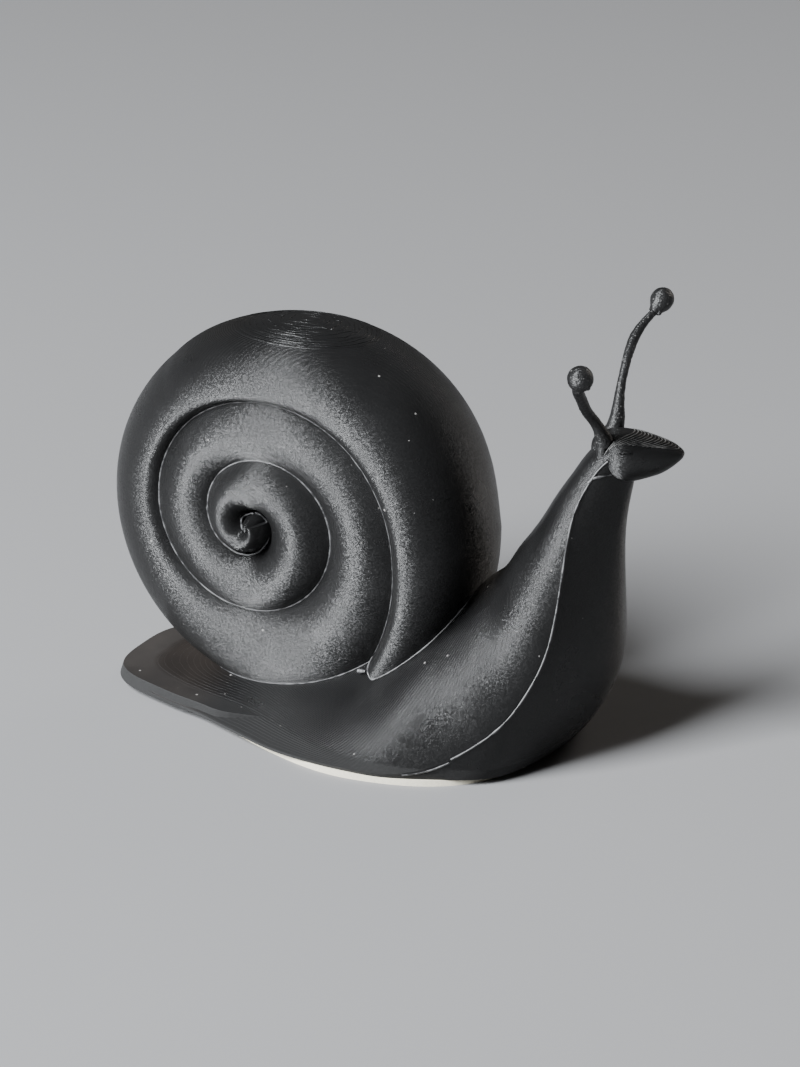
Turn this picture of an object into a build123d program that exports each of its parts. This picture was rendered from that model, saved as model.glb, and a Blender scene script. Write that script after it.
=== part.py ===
from build123d import *
import os
from math import cos, sin, pi, radians

# Driving sizes of the foot and back, in millimetres: X runs forwards, Z up,
# and the origin is on the rest face, under the pad
tail_reach = 30.2
tail_swing = 1.8
foot_half_width = 23.7
foot_rim_height = 0.5
foot_plate_thickness = 1.5
foot_plate_bevel = 0.85
back_height = 18.0
pad_thickness = 0.9

# Driving sizes of the neck, whose stations fan about a point above the foot
fan_height = 40.0
neck_reach = 33.0

# Driving sizes of the head
head_length = 12.8
head_half_width = 4.5
head_height = 6.4

# Driving sizes of the shell
shell_centre_x = -4.0
shell_radius = 30.3
shell_half_width = 11.8
apex_bulge = 2.0
apex_drift = 2.0
whorl_arch = 4.5
bud_radius = 2.25
bud_forward = 0.8
bud_drop = 0.35
core_radius = 3.5

# Driving sizes of the eye stalks
stalk_base_spread = 2.4
stalk_reach = 11.8
stalk_rise_left = 15.2
stalk_rise_right = 13.0
stalk_lean = 1.9
stalk_radius = 1.2
bulb_radius_left = 1.5
bulb_radius_right = 1.62
bulb_length = 3.7
spigot_radius = 0.7
spigot_length = 3.6

# Driving sizes of the locating pins and the fits
pin_radius = 1.5
pin_length = 8.0
fit_clearance = 0.05
overrun = 4.0

os.makedirs("parts", exist_ok=True)

# Shares that place one piece by another's size
fan_place_share = 0.662
head_start_share = 0.636
head_base_share = 0.995
shell_height_share = 0.937
stalk_place_share = 0.156
stalk_base_share = 0.844
pad_rear_share = -0.795
pad_front_share = 0.485
pad_width_share = 1.0

# Places that follow from the driving sizes
sole = pad_thickness
fan_x = fan_place_share * tail_reach
head_start = fan_x + head_start_share * neck_reach
head_base_height = head_base_share * fan_height
shell_centre_height = shell_height_share * shell_radius
stalk_base_x = head_start + stalk_place_share * head_length
stalk_base_height = head_base_height + stalk_base_share * head_height
pad_rear = pad_rear_share * tail_reach
pad_front = fan_x + pad_front_share * neck_reach
pad_half_width = pad_width_share * foot_half_width


def smooth(values, places, at):
    """Value at a place on a smooth curve through the given values."""
    last = len(places) - 1
    span = max(i for i in range(last) if places[i] <= at or i == 0)
    before, after = max(span - 1, 0), min(span + 2, last)
    width = places[span + 1] - places[span]
    part = (at - places[span]) / width
    slope_in = (values[span + 1] - values[before]) / (places[span + 1] - places[before])
    slope_out = (values[after] - values[span]) / (places[after] - places[span])
    rest = 1 - part
    return (
        values[span] * (1 + 2 * part) * rest**2
        + values[span + 1] * part**2 * (3 - 2 * part)
        + width * part * rest * (slope_in * rest - slope_out * part)
    )


# Shell: a turn counts clockwise from straight ahead, seen from the snail's right.
# Groove and outer reach are shares of the shell's radius.
groove_turns = [-1.0, -0.7, -0.45, -0.2, 0.05, 0.25, 0.45, 0.62, 0.8, 1.0, 1.25, 1.4, 1.6, 1.8, 2.0,
    2.1, 2.2]
groove_shares = [0.01, 0.034, 0.048, 0.068, 0.115, 0.185, 0.196, 0.255, 0.295, 0.365, 0.442, 0.47, 0.545,
    0.578, 0.65, 0.755, 0.93]
reach_turns = [-1.0, -0.7, -0.42, 0.0, 0.5, 1.0, 1.15, 1.25, 1.5, 1.75, 1.88, 2.0, 2.1, 2.2]
reach_shares = [0.12, 0.22, 0.31, 0.475, 0.63, 0.785, 0.93, 0.96, 0.88, 0.88, 0.963, 0.992, 1.04, 1.08]
crest_turns = [-1.0, 0.5, 1.0, 1.5, 2.2]
crest_shares = [0.30, 0.34, 0.32, 0.20, 0.22]
groove_overlap_share = 1.25
apex_turn = -1.0
aperture_turn = 2.135
turns_per_section = 1 / 16
sections_per_loft = 7


def shell_plane(turn):
    """Plane through the shell's axis: X runs outwards at the turn, Y to the snail's left."""
    outward = Vector(cos(-2 * pi * turn), 0, sin(-2 * pi * turn))
    drift = apex_drift * (1 - smooth(groove_shares, groove_turns, turn)) ** 2
    middle = (shell_centre_x - drift, 0, sole + shell_centre_height)
    return Plane(origin=middle, x_dir=outward, z_dir=outward.cross(Vector(0, 1, 0)))


def whorl_sizes(turn):
    """Groove radius, crest radius, outer reach and half width of the whorl at a turn."""
    groove = shell_radius * smooth(groove_shares, groove_turns, turn)
    reach = shell_radius * smooth(reach_shares, reach_turns, turn)
    crest = groove + smooth(crest_shares, crest_turns, turn) * (reach - groove)
    half = shell_half_width + apex_bulge * max(0, 1 - 2 * crest / shell_radius)
    return groove, crest, reach, half


def whorl_section(turn):
    """Draw the whorl's section: an outer half oval and two low inner arches."""
    groove, crest, reach, half = whorl_sizes(turn)
    arch = groove_overlap_share * (crest - groove)
    base = half - whorl_arch
    with BuildSketch(shell_plane(turn)) as section:
        with BuildLine():
            EllipticalCenterArc((crest, 0), reach - crest, half, -90, arc_size=180)
            EllipticalCenterArc((crest, base), arch, whorl_arch, 90, arc_size=90)
            Line((crest - arch, base), (crest - arch, -base))
            EllipticalCenterArc((crest, -base), arch, whorl_arch, 180, arc_size=90)
        make_face()
    return section.sketch


# Body: each station has the half width of the sole edge, the heights of back, edge and
# sole, and how full the back, the sole and its shoulders are.
foot_place_shares = [-0.93, -0.80, -0.62, -0.40, -0.15, 0.12, 0.42, 0.66]
foot_width_shares = [0.30, 0.46, 0.59, 0.685, 0.82, 0.95, 1.0, 0.985]
foot_back_shares = [0.07, 0.095, 0.13, 0.19, 0.26, 0.42, 0.70, 0.93]
foot_fullness_shares = [0.92, 0.88, 0.80, 0.68, 0.56, 0.54, 0.61, 0.70]
foot_swing_shares = [0.85, 0.60, 0.33, 0.15, 0.03, 0.0, 0.0, 0.0]
foot_station_count = 12
fan_angles = [7, 14, 20, 27, 40, 53, 66, 78, 90, 100]
fan_width_shares = [0.925, 0.84, 0.765, 0.675, 0.512, 0.392, 0.317, 0.261, 0.205, 0.16]
fan_back_shares = [0.645, 0.60, 0.57, 0.55, 0.497, 0.481, 0.484, 0.505, 0.561, 0.655]
fan_edge_shares = [1.183, 1.156, 1.118, 1.065, 0.921, 0.768, 0.677, 0.645, 0.678, 0.86]
fan_sole_shares = [1.34, 1.365, 1.365, 1.32, 1.165, 0.965, 0.842, 0.80, 0.811, 0.86]
fan_fullness_shares = [0.73, 0.76, 0.78, 0.80, 0.83, 0.85, 0.86, 0.86, 0.86, 0.86]
fan_belly_shares = [1.0, 1.0, 0.97, 0.82, 0.77, 0.75, 0.75, 0.78, 0.8, 0.85]
fan_shoulder_shares = [0.85, 0.85, 0.75, 0.42, 0.32, 0.3, 0.3, 0.35, 0.4, 0.5]
foot_shoulder_share = 0.85
shoulder_place_share = 0.85
fan_stations = [7, 13, 20, 27, 34, 41, 48, 56, 64, 72, 80, 90, 100]


def body_section(plane, half, back, edge, sides, fullness):
    """Draw the body's section across its spine: a domed back and a bowed sole."""
    belly, low, shoulder = sides
    middle = edge + (back - edge) * fullness
    outer = half * shoulder_place_share
    with BuildSketch(plane) as section:
        with BuildLine():
            Spline((-half, edge), (-half / 2, middle), (0, back), (half / 2, middle), (half, edge))
            Spline((half, edge), (outer, shoulder), (half / 2, low), (0, belly),
                (-half / 2, low), (-outer, shoulder), (-half, edge))
        make_face()
    return section.sketch


def foot_section(place):
    """Section of the foot at a share of the tail's reach, running down past the sole."""
    swing = -tail_swing * smooth(foot_swing_shares, foot_place_shares, place)
    plane = Plane(origin=(tail_reach * place, swing, sole), x_dir=(0, 1, 0), z_dir=(1, 0, 0))
    half = foot_half_width * smooth(foot_width_shares, foot_place_shares, place)
    back = back_height * smooth(foot_back_shares, foot_place_shares, place)
    shoulder = foot_rim_height - (foot_rim_height + overrun) * foot_shoulder_share
    fullness = smooth(foot_fullness_shares, foot_place_shares, place)
    return body_section(plane, half, back, foot_rim_height, (-overrun, -overrun, shoulder), fullness)


def neck_section(angle):
    """Section of the neck at an angle of the fan, measured back from the fan's point."""
    lift = radians(angle)
    plane = Plane(origin=(fan_x, 0, sole + fan_height), x_dir=(0, 1, 0), z_dir=(cos(lift), 0, sin(lift)))
    half = foot_half_width * smooth(fan_width_shares, fan_angles, angle)
    back = -neck_reach * smooth(fan_back_shares, fan_angles, angle)
    edge = -neck_reach * smooth(fan_edge_shares, fan_angles, angle)
    belly = -neck_reach * smooth(fan_sole_shares, fan_angles, angle)
    low = edge + (belly - edge) * smooth(fan_belly_shares, fan_angles, angle)
    shoulder = edge + (belly - edge) * smooth(fan_shoulder_shares, fan_angles, angle)
    return body_section(plane, half, back, edge, (belly, low, shoulder),
        smooth(fan_fullness_shares, fan_angles, angle))


# The tail plate's outline, from the middle of the foot to the tail
plate_place_shares = [0.10, -0.04, -0.16, -0.26, -0.38, -0.52, -0.68, -0.82, -0.93]
plate_width_shares = [0.62, 0.70, 0.728, 0.735, 0.692, 0.643, 0.562, 0.476, 0.345]
plate_swing_shares = [0.0, 0.0, 0.03, 0.07, 0.13, 0.22, 0.42, 0.65, 0.85]
plate_tip_swing_share = 0.75


def plate_outline(height, inset):
    """Outline of the tail plate at a height above the sole, drawn in by an inset."""
    places = [tail_reach * share for share in plate_place_shares]
    swings = [-tail_swing * share for share in plate_swing_shares]
    halves = [foot_half_width * share - inset for share in plate_width_shares]
    far_edge = [(x, swing + half) for x, swing, half in zip(places, swings, halves)]
    near_edge = [(x, swing - half) for x, swing, half in zip(places, swings, halves)]
    tip = (inset - tail_reach, -tail_swing * plate_tip_swing_share)
    with BuildSketch(Plane.XY.offset(sole + height)) as outline:
        with BuildLine():
            Spline(*far_edge, tip, *reversed(near_edge))
            Line(near_edge[0], far_edge[0])
        make_face()
    return outline.sketch


# Head stations from its rear to the beak tip
head_place_shares = [0.0, 0.1, 0.21, 0.34, 0.48, 0.63, 0.77, 0.89, 0.965, 1.0]
head_width_shares = [0.25, 0.46, 0.70, 0.94, 1.0, 0.87, 0.68, 0.46, 0.26, 0.08]
head_top_shares = [0.80, 0.96, 1.04, 1.045, 1.015, 0.975, 0.935, 0.88, 0.82, 0.765]
head_base_shares = [0.42, 0.17, 0.03, 0.0, 0.01, 0.12, 0.25, 0.43, 0.58, 0.69]

# The pad's outline about its middle, as shares of its half length and half width
pad_place_shares = [-1.0, -0.93, -0.75, -0.50, -0.25, 0.0, 0.24, 0.45, 0.62, 0.78, 0.90, 0.97, 1.0]
pad_width_shares = [0.0, 0.32, 0.50, 0.66, 0.82, 0.94, 1.0, 0.98, 0.925, 0.82, 0.66, 0.40, 0.0]

# The two pins' places along the foot, and their lower ends as shares of the back there
pin_place_shares = [-0.40, 0.20]
pin_floor_shares = [0.30, 0.62]


def pin_end(i):
    """Lower end of a pin in the body under the shell, counted from the tail."""
    place = pin_place_shares[i]
    back = back_height * smooth(foot_back_shares, foot_place_shares, place)
    return Vector(tail_reach * place, 0, sole + back * pin_floor_shares[i])


# Stalk points from the foot to past the tip; the two stalks lean differently
stalk_out_shares = [0.0, 0.08, 0.19, 0.36, 0.55, 0.81, 0.9, 1.05]
left_stalk_up_shares = [0.0, 0.26, 0.45, 0.60, 0.71, 0.86, 0.90, 1.02]
right_stalk_up_shares = [0.0, 0.15, 0.285, 0.43, 0.58, 0.785, 0.87, 1.05]
left_stalk_lean_shares = [-0.2, 0.0, -0.05, -0.15, -0.23, 0.18, 0.4, 0.78]
right_stalk_lean_shares = [0.25, 0.1, -0.08, -0.16, 0.02, 0.34, 0.72, 1.12]
left_stalk_radius_shares = [1.0, 0.56, 0.42, 0.46, 0.5, 0.37, 0.37]
right_stalk_radius_shares = [1.0, 0.66, 0.53, 0.53, 0.54, 0.56, 0.56]
bulb_place_shares = [0.0, 0.14, 0.34, 0.57, 0.79, 0.93, 1.0]
bulb_radius_shares = [0.45, 0.58, 0.86, 1.0, 0.86, 0.54, 0.14]


def stalk_point(side, rise, i):
    """Point on a stalk's middle line; side is 1 on the left and -1 on the right."""
    lean_shares = left_stalk_lean_shares if side > 0 else right_stalk_lean_shares
    up_shares = left_stalk_up_shares if side > 0 else right_stalk_up_shares
    across = stalk_base_spread + stalk_reach * stalk_out_shares[i]
    x = stalk_base_x + stalk_lean * lean_shares[i]
    return Vector(x, side * across, sole + stalk_base_height + rise * up_shares[i])


def stalk_section(side, rise, i):
    """Round section of a stalk, square to its middle line."""
    shares = left_stalk_radius_shares if side > 0 else right_stalk_radius_shares
    before, after = stalk_point(side, rise, max(i - 1, 0)), stalk_point(side, rise, i + 1)
    with BuildSketch(Plane(origin=stalk_point(side, rise, i), z_dir=after - before)) as section:
        Circle(stalk_radius * shares[i])
    return section.sketch


def bulb_section(side, rise, i):
    """Round section of the egg shaped bulb, along the stalk's last stretch."""
    start, end = stalk_point(side, rise, -2), stalk_point(side, rise, -1)
    ahead = (end - start).normalized()
    middle = start + ahead * (bulb_length * bulb_place_shares[i])
    with BuildSketch(Plane(origin=middle, z_dir=ahead)) as section:
        Circle((bulb_radius_left if side > 0 else bulb_radius_right) * bulb_radius_shares[i])
    return section.sketch


def spigot_section(side, rise, clearance):
    """Round section of a stalk's spigot, halfway up the stalk's first stretch."""
    start, end = stalk_point(side, rise, 0), stalk_point(side, rise, 1)
    with BuildSketch(Plane(origin=(start + end) / 2, z_dir=end - start)) as section:
        Circle(spigot_radius + clearance)
    return section.sketch


foot_step = (foot_place_shares[-1] - foot_place_shares[0]) / (foot_station_count - 1)
body_sections = [foot_section(foot_place_shares[0] + foot_step * i) for i in range(foot_station_count)]
body_sections += [neck_section(angle) for angle in fan_stations]

# The body's outer form, before the pin holes and stalk sockets are cut
with BuildPart() as body_form:
    for section in body_sections:
        add(section)
    loft()
    # Thin tail plate with a sloped rim
    add(plate_outline(0, 0))
    add(plate_outline(foot_plate_thickness, foot_plate_bevel))
    loft()
    # Head, a flattened snout that grows out of the neck
    for i, share in enumerate(head_place_shares):
        height = head_height * (head_top_shares[i] - head_base_shares[i])
        middle = sole + head_base_height + head_height * head_base_shares[i] + height / 2
        place = (head_start + head_length * share, 0, middle)
        width = 2 * head_half_width * head_width_shares[i]
        with BuildSketch(Plane(origin=place, x_dir=(0, 1, 0), z_dir=(1, 0, 0))):
            Ellipse(width / 2, height / 2)
    loft()
    with Locations((0, 0, sole)):
        Box(4 * tail_reach, 4 * foot_half_width, back_height, mode=Mode.SUBTRACT,
            align=(Align.CENTER, Align.CENTER, Align.MAX))

steps = round((aperture_turn - apex_turn) / turns_per_section)
turns = [apex_turn + (aperture_turn - apex_turn) * i / steps for i in range(steps + 1)]
with BuildPart() as shell:
    for first in range(0, steps, sections_per_loft - 1):
        for turn in turns[first : first + sections_per_loft]:
            add(whorl_section(turn))
        loft()
    # The first whorl starts in a rounded bud, over a core that closes the middle
    half = whorl_sizes(apex_turn)[3]
    bud_middle = shell_plane(apex_turn).origin + Vector(bud_forward, 0, -bud_drop)
    with BuildSketch(Plane(origin=bud_middle, x_dir=(1, 0, 0), z_dir=(0, 0, 1))):
        Ellipse(bud_radius, half)
        with Locations((-bud_radius, 0)):
            Rectangle(2 * bud_radius, 2 * half, mode=Mode.SUBTRACT)
    revolve(axis=Axis(bud_middle, Vector(0, 1, 0)))
    with BuildSketch(Plane.XZ.offset(whorl_arch - half)):
        with Locations((shell_centre_x, sole + shell_centre_height)):
            Circle(core_radius)
    extrude(amount=2 * half - 2 * whorl_arch)
    # The shell sits on the body's back, held by the two pins
    add(body_form.part, mode=Mode.SUBTRACT)
    with Locations((0, 0, sole + foot_rim_height)):
        Box(4 * tail_reach, 4 * foot_half_width, back_height, mode=Mode.SUBTRACT,
            align=(Align.CENTER, Align.CENTER, Align.MAX))
    with Locations(pin_end(0), pin_end(1)):
        Cylinder(pin_radius + fit_clearance, pin_length + fit_clearance, mode=Mode.SUBTRACT,
            align=(Align.CENTER, Align.CENTER, Align.MIN))

with BuildPart() as body:
    add(body_form.part)
    with Locations(pin_end(0), pin_end(1)):
        Cylinder(pin_radius + fit_clearance, pin_length, mode=Mode.SUBTRACT,
            align=(Align.CENTER, Align.CENTER, Align.MIN))
    for side, rise in ((1, stalk_rise_left), (-1, stalk_rise_right)):
        add(spigot_section(side, rise, fit_clearance))
        extrude(amount=-spigot_length - fit_clearance, mode=Mode.SUBTRACT)

with BuildPart() as eye_stalk_left:
    for i in range(len(left_stalk_radius_shares)):
        add(stalk_section(1, stalk_rise_left, i))
    loft()
    for i in range(len(bulb_radius_shares)):
        add(bulb_section(1, stalk_rise_left, i))
    loft()
    add(body_form.part, mode=Mode.SUBTRACT)
    add(spigot_section(1, stalk_rise_left, 0))
    extrude(amount=-spigot_length)

with BuildPart() as eye_stalk_right:
    for i in range(len(right_stalk_radius_shares)):
        add(stalk_section(-1, stalk_rise_right, i))
    loft()
    for i in range(len(bulb_radius_shares)):
        add(bulb_section(-1, stalk_rise_right, i))
    loft()
    add(body_form.part, mode=Mode.SUBTRACT)
    add(spigot_section(-1, stalk_rise_right, 0))
    extrude(amount=-spigot_length)

with BuildPart() as shell_pin_rear:
    with Locations(pin_end(0)):
        Cylinder(pin_radius, pin_length, align=(Align.CENTER, Align.CENTER, Align.MIN))

with BuildPart() as shell_pin_front:
    with Locations(pin_end(1)):
        Cylinder(pin_radius, pin_length, align=(Align.CENTER, Align.CENTER, Align.MIN))

with BuildPart() as foot_pad:
    with BuildSketch(Plane.XY):
        with BuildLine():
            middle, reach = (pad_front + pad_rear) / 2, (pad_front - pad_rear) / 2
            pad_shares = zip(pad_place_shares, pad_width_shares)
            rim = [(middle + reach * x, pad_half_width * w) for x, w in pad_shares]
            Spline(*rim, *[(x, -y) for x, y in reversed(rim[1:-1])], periodic=True)
        make_face()
    extrude(amount=pad_thickness)

body.part.label = "body"
shell.part.label = "shell"
eye_stalk_left.part.label = "eye_stalk_left"
eye_stalk_right.part.label = "eye_stalk_right"
shell_pin_front.part.label = "shell_pin_front"
shell_pin_rear.part.label = "shell_pin_rear"
foot_pad.part.label = "foot_pad"

export_step(body.part, "parts/body.step")
export_step(shell.part, "parts/shell.step")
export_step(eye_stalk_left.part, "parts/eye_stalk_left.step")
export_step(eye_stalk_right.part, "parts/eye_stalk_right.step")
export_step(shell_pin_front.part, "parts/shell_pin_front.step")
export_step(shell_pin_rear.part, "parts/shell_pin_rear.step")
export_step(foot_pad.part, "parts/foot_pad.step")
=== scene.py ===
import logging
import math
from dataclasses import dataclass
from enum import Enum

import bmesh
import bpy
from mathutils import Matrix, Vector, noise


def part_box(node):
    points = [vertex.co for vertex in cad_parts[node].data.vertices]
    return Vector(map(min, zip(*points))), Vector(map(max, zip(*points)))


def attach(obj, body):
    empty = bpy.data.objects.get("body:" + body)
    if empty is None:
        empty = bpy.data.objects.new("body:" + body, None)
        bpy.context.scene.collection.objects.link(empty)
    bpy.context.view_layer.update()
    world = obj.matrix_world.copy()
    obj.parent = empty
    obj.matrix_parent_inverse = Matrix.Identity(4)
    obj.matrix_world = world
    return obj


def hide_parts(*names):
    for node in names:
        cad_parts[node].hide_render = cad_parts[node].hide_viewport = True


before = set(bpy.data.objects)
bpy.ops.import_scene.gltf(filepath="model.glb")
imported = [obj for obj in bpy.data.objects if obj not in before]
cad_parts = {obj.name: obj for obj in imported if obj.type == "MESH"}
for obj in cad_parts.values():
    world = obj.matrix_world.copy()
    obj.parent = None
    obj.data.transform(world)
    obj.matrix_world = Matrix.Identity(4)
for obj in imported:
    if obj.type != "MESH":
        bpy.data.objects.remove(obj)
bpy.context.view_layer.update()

# Finish and fine relief of a printed snail, laid on its CAD solids. Sizes and places are in
# millimetres, and MM turns them into Blender's metres. Only the studio's own sizes are in
# metres. The scales of patterns are per metre, and colours are linear.
MM = 0.001
LOG = logging.getLogger("snail")

Triple = tuple[float, float, float]

COOL: Triple = (0.95, 0.975, 1.0)
WARM: Triple = (1.0, 0.93, 0.86)
DOWN = Vector((0.0, 0.0, -1.0))
UP = Vector((0.0, 0.0, 1.0))

# Corners of a CAD mesh that lie closer than this, in metres, are one corner
MERGE_DISTANCE = 1e-6

# A printed layer is a round bead on a wall and a flat tread on a slope. LEAST_RISER is the
# share of a layer that stays bead on level faces, RISER_SOFTNESS the blend between the two,
# and NUDGE keeps the sideways normal of a level face from having no length.
WOBBLE_SCALE = 90.0
LEAST_RISER = 0.04
RISER_SOFTNESS = 0.06
NUDGE = 1e-5
GRAIN_CELL = 0.17
MIDDLE_GREY: Triple = (0.5, 0.5, 0.5)
SPECK_CORE = 0.5

# Period and share of the two waves that make a bead swell and shrink, its least swell, and
# how finely its round section is cut
SWELLS = ((0.9, 1.0), (0.35, 0.6))
LEAST_SWELL = 0.25
BEAD_RESOLUTION = 1

SHELL_SIDE = (
    "shell", "groove_bead", "seam_bead", "shell_top_rings", "apex_ring_bead", "apex_hook_bead",
    "seam_nub", "eye_stalk_left_skin", "eye_stalk_right_skin", "shell_pin_front",
    "shell_pin_rear", "foot_pad", "studio_floor",
)
BODY_SIDE = ("body", "crease_bead", "crease_tail_bead", "jaw_bead", "beak_terraces")


class Slot(Enum):
    """Names of the record's material slots, which the new pieces list."""

    BODY = "body_plastic"
    SHELL = "shell_plastic"


class Line(Enum):
    """Which of a node's sharp lines carry a bead, as the sign of their angle."""

    RIDGE = 1
    GROOVE = -1


class Sketch:
    """Short hand for wiring the nodes of one material or node group."""

    def __init__(self, tree: bpy.types.NodeTree) -> None:
        """Start on a node tree."""
        self.tree = tree

    def node(self, kind: str, **settings: object) -> bpy.types.Node:
        """Add a node.

        Args:
            kind: Blender's name of the node type.
            settings: properties of the node to set.

        Returns:
            The new node.
        """
        node = self.tree.nodes.new(kind)
        for name, value in settings.items():
            setattr(node, name, value)
        return node

    def feed(self, socket: bpy.types.NodeSocket, value: object) -> None:
        """Link a socket to an output, or set its own value.

        Args:
            socket: the input socket.
            value: another node's output socket, or a plain value.
        """
        if isinstance(value, bpy.types.NodeSocket):
            self.tree.links.new(value, socket)
        else:
            socket.default_value = value

    def place(self) -> bpy.types.NodeSocket:
        """Add the object's own coordinates."""
        return self.node("ShaderNodeTexCoord").outputs["Object"]

    def normal(self) -> bpy.types.NodeSocket:
        """Add the surface's normal."""
        return self.node("ShaderNodeNewGeometry").outputs["Normal"]

    def split(self, vector: object) -> bpy.types.bpy_prop_collection:
        """Part a vector.

        Args:
            vector: the vector.

        Returns:
            The sockets of its X, Y and Z.
        """
        node = self.node("ShaderNodeSeparateXYZ")
        self.feed(node.inputs[0], vector)
        return node.outputs

    def upright(self, length: object) -> bpy.types.NodeSocket:
        """Add a vector along Z.

        Args:
            length: its length, which points it down where it is negative.

        Returns:
            The vector's socket.
        """
        node = self.node("ShaderNodeCombineXYZ")
        self.feed(node.inputs["Z"], length)
        return node.outputs[0]

    def math(self, operation: str, *values: object, clamp: bool = False) -> bpy.types.NodeSocket:
        """Add a Math node.

        Args:
            operation: the operation's name.
            values: its inputs in order.
            clamp: whether the result is held between 0 and 1.

        Returns:
            The result's socket.
        """
        node = self.node("ShaderNodeMath", operation=operation, use_clamp=clamp)
        for socket, value in zip(node.inputs, values):
            self.feed(socket, value)
        return node.outputs[0]

    def vector(self, operation: str, *values: object) -> bpy.types.NodeSocket:
        """Add a Vector Math node.

        Args:
            operation: the operation's name.
            values: its inputs in order.

        Returns:
            The result's socket.
        """
        node = self.node("ShaderNodeVectorMath", operation=operation)
        sockets = node.inputs
        if operation == "SCALE":
            sockets = [node.inputs[0], node.inputs["Scale"]]
        for socket, value in zip(sockets, values):
            self.feed(socket, value)
        return node.outputs[0]

    def ramp(self, value: object, low: object, high: object, start: float = 0.0,
             end: float = 1.0) -> bpy.types.NodeSocket:
        """Map a value from one range to another, eased in and out and held at both ends.

        Args:
            value: the value.
            low: start of its range.
            high: end of its range.
            start: what the low end gives.
            end: what the high end gives.

        Returns:
            The mapped value's socket.
        """
        node = self.node("ShaderNodeMapRange", interpolation_type="SMOOTHSTEP")
        for socket, given in zip(node.inputs, (value, low, high, start, end)):
            self.feed(socket, given)
        return node.outputs[0]

    def noise(self, place: object, scale: float, detail: float = 2.0) -> bpy.types.NodeSocket:
        """Add a noise pattern.

        Args:
            place: coordinates that it reads.
            scale: its scale, per metre on Object coordinates.
            detail: its number of finer layers.

        Returns:
            The noise value's socket.
        """
        node = self.node("ShaderNodeTexNoise")
        self.feed(node.inputs["Vector"], place)
        self.feed(node.inputs["Scale"], scale)
        self.feed(node.inputs["Detail"], detail)
        return node.outputs[0]

    def blend(self, factor: object, first: object, second: object,
              kind: str = "RGBA") -> bpy.types.NodeSocket:
        """Mix two colours or two vectors.

        Args:
            factor: 0 gives the first, 1 the second.
            first: the first colour or vector.
            second: the second colour or vector.
            kind: RGBA or VECTOR.

        Returns:
            The mixed value's socket.
        """
        node = self.node("ShaderNodeMix", data_type=kind)
        inputs = [socket for socket in node.inputs if socket.enabled]
        for socket, value in zip(inputs, (factor, first, second)):
            self.feed(socket, value)
        return next(socket for socket in node.outputs if socket.enabled)

    def bump(self, height: object, strength: float, depth: float) -> bpy.types.NodeSocket:
        """Add a Bump node.

        Args:
            height: the pattern that stands up.
            strength: its strength.
            depth: its depth.

        Returns:
            The bumped normal's socket.
        """
        node = self.node("ShaderNodeBump")
        self.feed(node.inputs["Strength"], strength)
        self.feed(node.inputs["Distance"], depth * MM)
        self.feed(node.inputs["Height"], height)
        return node.outputs[0]

    def group(self, tree: bpy.types.NodeTree, **values: object) -> bpy.types.NodeSocket:
        """Place a node group.

        Args:
            tree: the group.
            values: its inputs by name, with underscores for spaces.

        Returns:
            The socket of the group's only output.
        """
        node = self.node("ShaderNodeGroup", node_tree=tree)
        for name, value in values.items():
            self.feed(node.inputs[name.replace("_", " ")], value)
        return node.outputs[0]


def new_group(name: str, inputs: tuple[str, ...], kind: str) -> tuple[Sketch, list, bpy.types.NodeSocket]:
    """Start a shader node group that puts out one value.

    Args:
        name: its name.
        inputs: names of its number inputs.
        kind: socket type of its output.

    Returns:
        The group's sketch, its inputs in order, and the socket to feed with its result.
    """
    tree = bpy.data.node_groups.new(name, "ShaderNodeTree")
    for label in inputs:
        tree.interface.new_socket(label, in_out="INPUT", socket_type="NodeSocketFloat")
    tree.interface.new_socket("Result", in_out="OUTPUT", socket_type=kind)
    sketch = Sketch(tree)
    given = sketch.node("NodeGroupInput")
    result = sketch.node("NodeGroupOutput")
    return sketch, [given.outputs[label] for label in inputs], result.inputs["Result"]


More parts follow.
